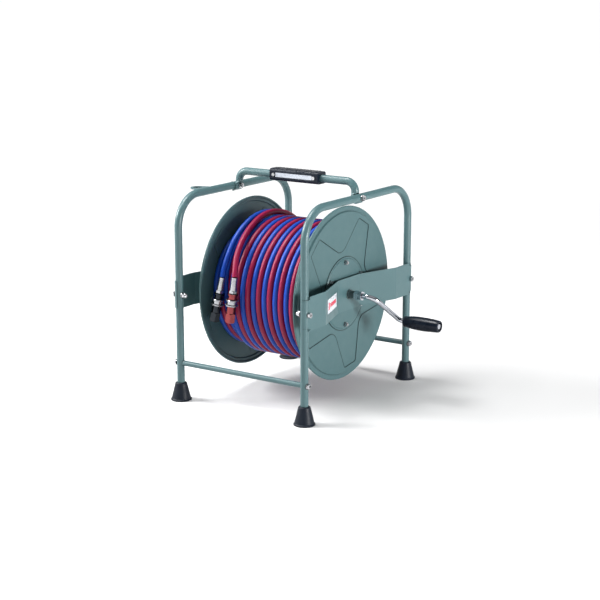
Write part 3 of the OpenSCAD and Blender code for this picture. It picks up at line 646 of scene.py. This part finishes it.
def merged_edges(
    mesh: bpy.types.Mesh, grid: float
) -> tuple[list[Vector], dict[tuple[int, int], list[float]]]:
    """Joins a mesh's loose faces where their corners meet.

    Args:
        mesh: The mesh.
        grid: The step of a grid, and corners that share a place on it are one.

    Returns:
        The corners' places, and for each edge how squarely each of its faces looks along X.
    """
    number: dict[tuple[int, ...], int] = {}
    places: list[Vector] = []
    facing: dict[tuple[int, int], list[float]] = {}
    for face in mesh.polygons:
        corners = []
        for vertex in face.vertices:
            place = mesh.vertices[vertex].co
            key = tuple(round(c / grid) for c in place)
            if key not in number:
                number[key] = len(places)
                places.append(place.copy())
            corners.append(number[key])
        for a, b in zip(corners, [*corners[1:], corners[0]]):
            facing.setdefault((min(a, b), max(a, b)), []).append(abs(face.normal.x))
    return places, facing


class DetailShop:
    """The Geometry Nodes trees that the sub-assemblies use."""

    def __init__(self) -> None:
        """Builds the trees."""
        self.knurl = self._knurl_tree()
        self.thread = self._thread_tree()
        self.ribs = self._rib_tree()
        self.weld = self._weld_tree()
        self.hose = self._hose_tree()
        self.seam = self._shade_line_tree()

    def _knurl_tree(self) -> GrowthGraph:
        """Returns the tree for a ring of small raised teeth round +Z."""
        sizes = {"Count": "Int", "Radius": "Float", "Tooth": "Vector", "Origin": "Vector", "Turn": "Vector"}
        graph = GrowthGraph("knurled_ring", sizes)
        given = graph.given
        ring = graph.add("GeometryNodeMeshCircle", {"Vertices": given["Count"], "Radius": given["Radius"]})
        tooth = graph.add("GeometryNodeMeshCube", {"Size": given["Tooth"]})
        place = graph.add("GeometryNodeInputPosition").outputs[0]
        outward = graph.add("FunctionNodeAlignRotationToVector", {"Vector": place}, axis="X")
        upright = {"Rotation": outward.outputs[0], "Vector": (0, 0, 1)}
        rolled = graph.add("FunctionNodeAlignRotationToVector", upright, axis="Z", pivot_axis="X")
        teeth = graph.copies(ring.outputs[0], tooth.outputs[0], Rotation=rolled.outputs[0])
        graph.close(graph.laid(teeth), False)
        return graph

    def _thread_tree(self) -> GrowthGraph:
        """Returns the tree for a screw thread's ridge wound round +Z."""
        lengths = dict.fromkeys(("Turns", "Radius", "Length", "Depth"), "Float")
        graph = GrowthGraph("thread_ridge", {**lengths, "Origin": "Vector", "Turn": "Vector"})
        given = graph.given
        radii = {"Start Radius": given["Radius"], "End Radius": given["Radius"]}
        inputs = {"Resolution": 28, "Rotations": given["Turns"], "Height": given["Length"], **radii}
        helix = graph.add("GeometryNodeCurveSpiral", inputs)
        ridge = graph.swept(helix.outputs[0], graph.circle(4, given["Depth"]), True)
        graph.close(graph.laid(ridge), False)
        return graph

    def _rib_tree(self) -> GrowthGraph:
        """Returns the tree for a row of slanted ribs along the guide."""
        graph = GrowthGraph("moulded_ribs", {"Pitch": "Float", "Rib": "Vector", "Slant": "Float"})
        bar = graph.add("GeometryNodeMeshCube", {"Size": graph.given["Rib"]})
        graph.close(graph.row(bar.outputs[0], Rotation=graph.vector(z=graph.given["Slant"])), False)
        return graph

    def _weld_tree(self) -> GrowthGraph:
        """Returns the tree for a weld bead of overlapping ripples along the guide."""
        graph = GrowthGraph("weld_bead", {"Pitch": "Float", "Size": "Float"})
        ripple = graph.add("GeometryNodeMeshIcoSphere", {"Radius": graph.given["Size"], "Subdivisions": 2})
        sizes = {"Min": RIPPLE_SIZES[0], "Max": RIPPLE_SIZES[1], "Seed": SEED}
        vary = graph.add("FunctionNodeRandomValue", sizes, data_type="FLOAT")
        graph.close(graph.row(ripple.outputs[0], Scale=vary.outputs["Value"]), True)
        return graph

    def _hose_tree(self) -> GrowthGraph:
        """Returns the tree that sweeps a hose along its guide and notes where its cover lies."""
        graph = GrowthGraph("wound_hose", {"Radius": "Float", "Sides": "Int"})
        given = graph.given
        length = graph.add("GeometryNodeSplineParameter").outputs["Length"]
        route, run = graph.captured(graph.guide(), "FLOAT", length)
        place = graph.add("GeometryNodeInputPosition").outputs[0]
        section, across = graph.captured(graph.circle(given["Sides"], given["Radius"]), "VECTOR", place)
        split = graph.add("ShaderNodeSeparateXYZ", {0: across})
        laid = graph.vector(split.outputs[0], split.outputs[1], run)
        inputs = {0: graph.swept(route, section, True), "Name": COVER}
        types = {"data_type": "FLOAT_VECTOR", "domain": "POINT"}
        stored = graph.add("GeometryNodeStoreNamedAttribute", inputs, **types)
        graph.feed(stored.inputs["Value"], laid)
        graph.close(stored.outputs[0], True)
        return graph

    def _shade_line_tree(self) -> GrowthGraph:
        """Returns the tree that lays a fine rounded line along the guide, used for the flanges' painted shade
        lines.
        """
        graph = GrowthGraph("pressed_line", {"Width": "Float"})
        section = graph.circle(6, graph.math("MULTIPLY", graph.given["Width"], 0.5))
        graph.close(graph.swept(graph.guide(), section, False), True)
        return graph


# ---- sub-assemblies


@dataclass
class SubAssembly:
    """A group of the frame's parts, with the finishes and trees that dress it."""

    palette: Palette
    shop: DetailShop

    def nodes(self) -> list[str]:
        """Returns the names of the group's parts in the frame."""
        raise NotImplementedError

    def grow_details(self) -> None:
        """Grows the group's repeated small details, where it has any."""

    def build(self) -> None:
        """Dresses the group's parts and grows its details."""
        self.palette.dress(self.nodes())
        self.grow_details()


@dataclass
class Winding:
    """How both hoses are wound side by side on the drum, layer on layer.

    A turn starts at the top and goes over the front. Distances along X are the blue
    hose's, from the reel's middle, and the red hose lies one pair step to its right.
    Starts, ends and climbs are counted in turns.
    """

    middle_x: float = -51.25 * MM
    pair_step: float = 12.5 * MM
    right_x: float = 98.0 * MM
    left_x: float = -111.0 * MM
    inner_radius: float = 78.0 * MM  # at the clamp, inside the core
    first_radius: float = 91.5 * MM
    layer_step: float = 12.0 * MM
    hidden_layers: int = 3
    hidden_pitch: float = 25.6 * MM
    fourth_start: float = 25.25
    fourth_pitch: float = 25.1 * MM
    climb: float = 0.25  # up to the next layer
    outer_start: float = 34.25
    outer_pitch: float = 26.6 * MM
    outer_turns: float = 6.0
    outer_end: float = 40.8325
    last_drift: float = 5.4 * MM
    lead_in: float = 0.20  # from the clamp to the first layer
    climb_out: float = 0.14  # through the core's wall
    red_lift: float = 7.0 * MM  # over the blue hose, before it comes loose
    lift_turns: float = 0.2
    points_a_turn: int = 48

    def at(self, turn: float) -> tuple[float, float]:
        """Finds the blue hose's place at a turn.

        Args:
            turn: Turns since the first layer began, at the top of the drum.

        Returns:
            Its distance from the middle along X, and its distance from the axis.
        """
        if turn < 0:
            share = smooth(turn, -self.climb_out, 0.0)
            return self.right_x, self.inner_radius + share * (self.first_radius - self.inner_radius)
        if turn >= self.outer_start:
            done = turn - self.outer_start
            drift = self.last_drift * smooth(done, self.outer_turns, self.outer_end - self.outer_start)
            x = self.right_x - self.outer_pitch * min(done, self.outer_turns) - drift
            return x, self.first_radius + (self.hidden_layers + 1) * self.layer_step
        if turn < self.fourth_start:
            span, pitch = self.fourth_start / self.hidden_layers, self.hidden_pitch
            layer = int(turn / span)
            done = turn - layer * span
        else:
            span, pitch = self.outer_start - self.fourth_start, self.fourth_pitch
            layer, done = self.hidden_layers, turn - self.fourth_start
        moved = min(done * pitch, self.right_x - self.left_x)
        x = self.right_x - moved if layer % 2 == 0 else self.left_x + moved
        return x, self.first_radius + (layer + smooth(done, span - self.climb, span)) * self.layer_step

    def point(self, x: float, radius: float, turn: float) -> Vector:
        """Returns the point at a place along X, a radius and a turn."""
        angle = 2 * math.pi * turn
        return Vector((self.middle_x + x, -radius * math.sin(angle), AXIS_Z + radius * math.cos(angle)))

    def turns(self, line: Line) -> list[Vector]:
        """Works out one hose's wound part.

        Args:
            line: Which hose.

        Returns:
            Its points, from its inner end to where it comes loose.
        """
        shift = self.pair_step if line is Line.RED else 0.0
        lift = self.red_lift if line is Line.RED else 0.0
        count = round((self.outer_end + self.lead_in) * self.points_a_turn)
        points = []
        for i in range(count):
            turn = -self.lead_in + (self.outer_end + self.lead_in) * i / count
            x, radius = self.at(turn)
            rise = lift * smooth(turn, self.outer_end - self.lift_turns, self.outer_end)
            points.append(self.point(x + shift, radius + rise, turn))
        return points


def smooth(value: float, start: float, end: float) -> float:
    """Returns 0 before start, 1 after end, and an eased share between them."""
    share = min(1.0, max(0.0, (value - start) / (end - start)))
    return share * share * (3 - 2 * share)


def through(points: Sequence[Vector], steps: int) -> list[Vector]:
    """Draws a smooth line through points.

    Args:
        points: The points, of which the first and last only give the direction.
        steps: How many pieces each stretch is cut into.

    Returns:
        The line's points, from the second point to the last but one.
    """
    line = []
    for before, start, end, after in zip(points, points[1:], points[2:], points[3:]):
        for i in range(steps):
            t = i / steps
            slope = (end - before) * t
            bend = (2 * before - 5 * start + 4 * end - after) * t**2
            twist = (3 * start - before - 3 * end + after) * t**3
            line.append(0.5 * (2 * start + slope + bend + twist))
    return [*line, points[-2]]


@dataclass
class HosePair:
    """The blue and the red hose: wound on the drum, over the top and down to the couplings."""

    winding: Winding = field(default_factory=Winding)
    diameter: float = 12.0 * MM
    sides: int = 16
    loose_steps: int = 3
    lead_out: float = 20.0 * MM
    # each hose's loose end, in millimetres from the middle of the drum's axis
    loose: dict[Line, tuple[tuple[float, float, float], ...]] = field(
        default_factory=lambda: {
            Line.BLUE: (
                (-67, 121, 69), (-69, 101, 101), (-72, 75, 126), (-74, 40, 143),
                (-76, 0, 149), (-77, -39, 145), (-78, -75, 130), (-79, -106, 106),
                (-80, -128, 76), (-81, -140, 53), (-80.5, -146.5, 36),
            ),
            Line.RED: (
                (-56, 124, 78), (-57, 106, 105), (-58, 77, 129), (-60, 41, 145),
                (-61, 0, 151), (-61, -40, 146), (-59, -77, 131), (-55, -111, 110),
                (-50, -137, 85), (-44, -152, 62), (-40, -160, 43),
            ),
        }
    )

    def loose_points(self, line: Line) -> list[Vector]:
        """Returns the points of a hose's loose end, in metres."""
        middle = Vector((self.winding.middle_x, 0.0, AXIS_Z))
        return [middle + Vector(p) * MM for p in self.loose[line]]

    def route(self, line: Line, towards: Vector) -> list[Vector]:
        """Works out a hose's whole route.

        Args:
            line: Which hose.
            towards: The direction in which it enters its coupling.

        Returns:
            Its points from the clamp inside the drum to the coupling.
        """
        wound = self.winding.turns(line)
        chosen = self.loose_points(line)
        beyond = chosen[-1] + towards.normalized() * self.lead_out
        return [*wound[:-1], *through([wound[-2], wound[-1], *chosen[1:], beyond], self.loose_steps)]

    def build(self, palette: Palette, shop: DetailShop, couplings: dict[Line, "Coupling"]) -> None:
        """Args:
            palette: The finishes.
            shop: The trees.
            couplings: The coupling on the end of each hose.
        """
        stand_ins = {Line.BLUE: ("hose_winding", "blue_hose_end"), Line.RED: ("red_hose_end",)}
        slots = {Line.BLUE: Slot.BLUE_HOSE, Line.RED: Slot.RED_HOSE}
        for line in Line:
            points = self.route(line, couplings[line].direction())
            finish = palette.materials[slots[line]]
            values = {"Radius": self.diameter / 2, "Sides": self.sides, "Material": finish}
            hose = shop.hose.grow(f"{line.value}_hose", values, points)
            settle(hose, Body.DRUM)
            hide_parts(*stand_ins[line])


@dataclass
class Coupling(SubAssembly):
    """A quick coupling on one hose: ferrule, tail, socket, sliding ring and union nut."""

    line: Line
    start: Vector
    rear_knurl: float = 47.9 * MM
    front_knurl: float = 58.2 * MM
    knurl_radius: float = 12.9 * MM
    tooth: tuple[float, float, float] = (0.7 * MM, 0.9 * MM, 1.2 * MM)
    teeth: int = 44
    thread_start: float = 84.8 * MM
    thread_length: float = 9.0 * MM
    thread_radius: float = 7.5 * MM
    thread_depth: float = 0.6 * MM
    thread_turns: float = 6.0
    pieces: list[bpy.types.Object] = field(default_factory=list)

    def direction(self) -> Vector:
        """Returns the unit vector from the hose towards the mouth."""
        low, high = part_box(f"{self.line.value}_union_nut")
        return ((low + high) / 2 - self.start).normalized()

    def at(self, distance: float) -> Vector:
        """Returns the point on the coupling's axis at a distance from the hose's end."""
        return self.start + self.direction() * distance

    def nodes(self) -> list[str]:
        """Returns the coupling's parts."""
        parts = ("ferrule", "hose_tail", "socket", "slide_ring", "union_nut")
        return [f"{self.line.value}_{part}" for part in parts]

    def grow_knurl(self, spot: str, distance: float) -> None:
        """Grows the ring of teeth on one shoulder of the sliding ring.

        Args:
            spot: Which shoulder, front or rear.
            distance: How far along the coupling it is.
        """
        values = {
            "Count": self.teeth,
            "Radius": self.knurl_radius,
            "Tooth": self.tooth,
            "Material": self.palette.materials[Slot.NICKEL],
            **laid_along(self.at(distance), self.direction()),
        }
        knurl = self.shop.knurl.grow(f"{self.line.value}_ring_knurl_{spot}", values)
        settle(knurl, Body(f"{self.line.value}_ring"))
        self.pieces.append(knurl)

    def grow_thread(self) -> None:
        """Grows the thread in the union nut's mouth."""
        slot = self.palette.slot_of[f"{self.line.value}_union_nut"]
        values = {
            "Turns": self.thread_turns,
            "Radius": self.thread_radius,
            "Length": self.thread_length,
            "Depth": self.thread_depth,
            "Material": self.palette.materials[slot],
            **laid_along(self.at(self.thread_start), self.direction()),
        }
        thread = self.shop.thread.grow(f"{self.line.value}_nut_thread", values)
        settle(thread, Body(f"{self.line.value}_nut"))
        self.pieces.append(thread)

    def grow_details(self) -> None:
        """Grows the knurls and the thread, and lists all that is on the hose's end."""
        self.pieces.extend(frame["nodes"][node] for node in self.nodes())
        self.grow_knurl("rear", self.rear_knurl)
        self.grow_knurl("front", self.front_knurl)
        self.grow_thread()


@dataclass
class Stand(SubAssembly):
    """The two bent-tube side frames with their feet, cross bars and bearing plates."""

    weld_size: float = 1.5 * MM
    weld_pitch: float = 1.3 * MM
    weld_inset: float = 1.35 * MM
    weld_margin: float = 0.04

    def nodes(self) -> list[str]:
        """Returns the stand's own parts, without the carry handle."""
        feet = [f"{side}_{end}_foot" for side in SIDES for end in ("front", "rear")]
        sided = [f"{side}_{part}" for side in SIDES for part in ("frame_tube", "bearing_plate", "bush")]
        fixings = ["plate_bolts", "plate_cap_nuts", "cross_bar_bolts", "cross_bar_washers"]
        return [*sided, *feet, "front_cross_bar", "rear_cross_bar", *fixings, "hook_eye", "plate_label"]

    def grow_details(self) -> None:
        """Runs the weld beads that hold the hook eye."""
        low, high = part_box("hook_eye")
        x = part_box("left_frame_tube")[0].x + self.weld_inset
        margin = (high.y - low.y) * self.weld_margin
        enamel = self.palette.materials[Slot.FRAME_PAINT]
        values = {"Pitch": self.weld_pitch, "Size": self.weld_size, "Material": enamel}
        for name, z in (("upper", high.z), ("lower", low.z)):
            ends = [Vector((x, low.y + margin, z)), Vector((x, high.y - margin, z))]
            bead = self.shop.weld.grow(f"eye_weld_{name}", values, ends)
            settle(bead, Body.STAND)


@dataclass
class CarryHandle(SubAssembly):
    """The bent handle tube with its two grip shells, strip and fixings."""

    rib: tuple[float, float, float] = (1.3 * MM, 10.0 * MM, 0.9 * MM)
    rib_pitch: float = 3.4 * MM
    rib_slant: float = math.radians(32)
    rib_margin: float = 8.0 * MM

    def nodes(self) -> list[str]:
        """Returns the handle's parts."""
        shells = ["front_grip_shell", "rear_grip_shell", "grip_name_strip", "grip_screws"]
        return ["carry_handle_tube", *shells, "handle_bolts", "handle_nuts", "handle_washers"]

    def grow_details(self) -> None:
        """Grows the slanted ribs on top of the grip."""
        plastic = self.palette.materials[Slot.GRIP]
        values = {"Pitch": self.rib_pitch, "Rib": self.rib, "Slant": self.rib_slant, "Material": plastic}
        for shell in ("front", "rear"):
            low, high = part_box(f"{shell}_grip_shell")
            y = (low.y + high.y) / 2
            ends = [Vector((x, y, high.z)) for x in (low.x + self.rib_margin, high.x - self.rib_margin)]
            ribs = self.shop.ribs.grow(f"{shell}_grip_ribs", values, ends)
            settle(ribs, Body.STAND)


@dataclass
class Drum(SubAssembly):
    """The pressed drum with its flanges, core, hubs, axle and screws."""

    press_inner: float = 75.0 * MM
    press_outer: float = 164.0 * MM
    press_width: float = 0.9 * MM
    press_depth: float = 0.2 * MM
    flat_facing: float = 0.95  # a face that looks more squarely along X than this is flat
    wall_facing: float = 0.3  # and less squarely than this, a wall
    same_place: float = 0.01 * MM

    def nodes(self) -> list[str]:
        """Returns the drum's parts, without the hoses and the crank."""
        sided = [f"{side}_{part}" for side in SIDES for part in ("flange", "hub")]
        fixings = ["flange_screws", "flange_nuts", "flange_washers", "hose_anchor"]
        return ["drum_core", *sided, "axle", "axle_end_nut", "axle_washer", *fixings]

    def pressed_edges(self, side: str) -> tuple[list[Vector], list[tuple[int, int]]]:
        """Finds where a flange's flat face drops into its pressed recess.

        Args:
            side: Which flange.

        Returns:
            The points along the drop, and the pairs of them that are joined.
        """
        points, facing = merged_edges(frame["nodes"][f"{side}_flange"].data, self.same_place)
        middle = Vector((0.0, 0.0, AXIS_Z))
        reach = [(point - middle).yz.length for point in points]
        outward = 1 if side == "right" else -1
        height = [outward * point.x for point in points]
        chosen = [
            (a, b)
            for (a, b), looks in facing.items()
            if max(looks) > self.flat_facing
            and min(looks) < self.wall_facing
            and self.press_inner < min(reach[a], reach[b])
            and max(reach[a], reach[b]) < self.press_outer
        ]
        rim = max(height[a] for a, _ in chosen)
        chosen = [pair for pair in chosen if min(height[i] for i in pair) > rim - self.press_depth]
        used = sorted({i for pair in chosen for i in pair})
        number = {i: n for n, i in enumerate(used)}
        return [points[i] for i in used], [(number[a], number[b]) for a, b in chosen]

    def grow_details(self) -> None:
        """Lays fine dark lines along the flanges' pressed edges as painted shade, where the recesses' walls
        fall into shadow.
        """
        # painted shade: a near-black enamel line stands in for the shadow along each pressed edge
        shade_line_finish = Enamel("painted_shade_line_enamel", (0.012, 0.022, 0.024), roughness=0.6, coat=0.0)
        values = {"Width": self.press_width, "Material": shade_line_finish.build()}
        for side in SIDES:
            line = self.shop.seam.grow(f"{side}_flange_painted_shade_line", values, *self.pressed_edges(side))
            settle(line, Body.DRUM)


@dataclass
class Crank(SubAssembly):
    """The crank with its sleeve, nuts, bent rod and turning grip."""

    def nodes(self) -> list[str]:
        """Returns the crank's parts."""
        return ["crank_sleeve", "crank_nuts", "crank_rod", "grip_end_screw", "crank_grip"]


# ---- studio


@dataclass(frozen=True)
class SoftBox:
    """A soft square light: where it stands, the length of its side and its power in watts."""

    name: str
    place: tuple[float, float, float]
    size: float
    watts: float


@dataclass
class Studio:
    """The camera, the pale floor and the soft lights round the reel."""

    camera_place: Vector = field(default_factory=lambda: Vector((1.63325, -2.4995, 0.9005)))
    camera_azimuth: float = 33.815
    camera_pitch: float = 13.227
    lens: float = 89.0
    sensor_width: float = 36.0
    clip_end: float = 200.0
    lit_point: tuple[float, float, float] = (0.0, 0.0, 0.22)
    lights: tuple[SoftBox, ...] = (
        SoftBox("left", (-2.4, -1.3, 1.7), 1.1, 155.0),
        SoftBox("right", (2.9, -0.2, 0.5), 0.6, 112.0),
        SoftBox("top", (-0.75, -0.4, 2.6), 1.1, 88.0),
    )
    floor_half: float = 60.0
    floor_tones: tuple[Colour, Colour] = ((0.55, 0.55, 0.55), (0.58, 0.58, 0.58))
    floor_glow: tuple[float, float] = (0.10, 0.85)
    glow_reach: tuple[float, float] = (0.6, 4.0)
    room_tint: Colour = (0.97, 0.985, 1.0)
    room_light: tuple[tuple[float, float], ...] = ((0.04, 1.0), (0.3, 0.10), (0.5, 0.08), (0.85, 0.42))

    def add_camera(self) -> None:
        """Makes the camera and makes it the scene's."""
        data = bpy.data.cameras.new("camera")
        data.lens = self.lens
        data.sensor_width = self.sensor_width
        data.clip_end = self.clip_end
        camera = new_object("camera", data)
        camera.location = self.camera_place
        tilt, turn = math.radians(90 - self.camera_pitch), math.radians(self.camera_azimuth)
        camera.rotation_euler = (tilt, 0.0, turn)
        bpy.context.scene.camera = camera

    def add_light(self, box: SoftBox) -> None:
        """Makes a light that faces the reel.

        Args:
            box: Where and how strong it is.
        """
        data = bpy.data.lights.new(box.name, "AREA")
        data.size = box.size
        data.energy = box.watts
        light = new_object(box.name, data)
        light.location = box.place
        aim = Vector(self.lit_point) - Vector(box.place)
        light.rotation_euler = aim.to_track_quat("-Z", "Y").to_euler()

    def add_floor(self) -> None:
        """Makes the wide pale floor, which glows far from the lights so that it stays even."""
        mesh = bpy.data.meshes.new("floor")
        half = self.floor_half
        corners = [(-half, -half, 0), (half, -half, 0), (half, half, 0), (-half, half, 0)]
        mesh.from_pydata(corners, [], [(0, 1, 2, 3)])
        floor = new_object("floor", mesh)
        graph = ShaderGraph("pale_floor")
        away = graph.add("ShaderNodeVectorMath", {0: graph.place}, operation="LENGTH").outputs["Value"]
        graph.set(
            base_color=graph.blend(graph.noise(0.7, 2.0), *self.floor_tones),
            roughness=0.85,
            specular_ior_level=0.1,
            emission_color=(1.0, 1.0, 1.0),
            emission_strength=graph.spread(away, *self.floor_glow, *self.glow_reach),
        )
        mesh.materials.append(graph.material)

    def add_room(self) -> None:
        """Makes the surroundings: pale at the horizon, dim above it and brighter overhead."""
        world = bpy.data.worlds.new("soft_room")
        bpy.context.scene.world = world
        world.use_nodes = True
        tree = world.node_tree
        place = tree.nodes.new("ShaderNodeTexCoord")
        split = tree.nodes.new("ShaderNodeSeparateXYZ")
        ramp = tree.nodes.new("ShaderNodeValToRGB")
        ramp.color_ramp.interpolation = "EASE"
        while len(ramp.color_ramp.elements) < len(self.room_light):
            ramp.color_ramp.elements.new(0.5)
        for stop, (rise, light) in zip(ramp.color_ramp.elements, self.room_light):
            stop.position = rise
            stop.color = (*shade(self.room_tint, light), 1.0)
        tree.links.new(place.outputs["Generated"], split.inputs[0])
        tree.links.new(split.outputs["Z"], ramp.inputs[0])
        tree.links.new(ramp.outputs[0], tree.nodes["Background"].inputs["Color"])

    def build(self) -> None:
        """Makes the floor, the lights and the surroundings."""
        self.add_floor()
        for box in self.lights:
            self.add_light(box)
        self.add_room()
        bpy.context.scene.view_settings.view_transform = "Standard"


def main() -> None:
    """Builds the studio and the reel, and reports each piece."""
    logging.basicConfig(level=logging.INFO, format="%(name)s %(message)s")
    studio = Studio()
    studio.add_camera()
    palette = Palette()
    shop = DetailShop()
    hoses = HosePair()
    couplings = {line: Coupling(palette, shop, line, hoses.loose_points(line)[-1]) for line in Line}
    for coupling in couplings.values():
        coupling.build()
    hoses.build(palette, shop, couplings)
    for group in (Stand, CarryHandle, Drum, Crank):
        group(palette, shop).build()
    studio.build()


if __name__ == "__main__":
    main()
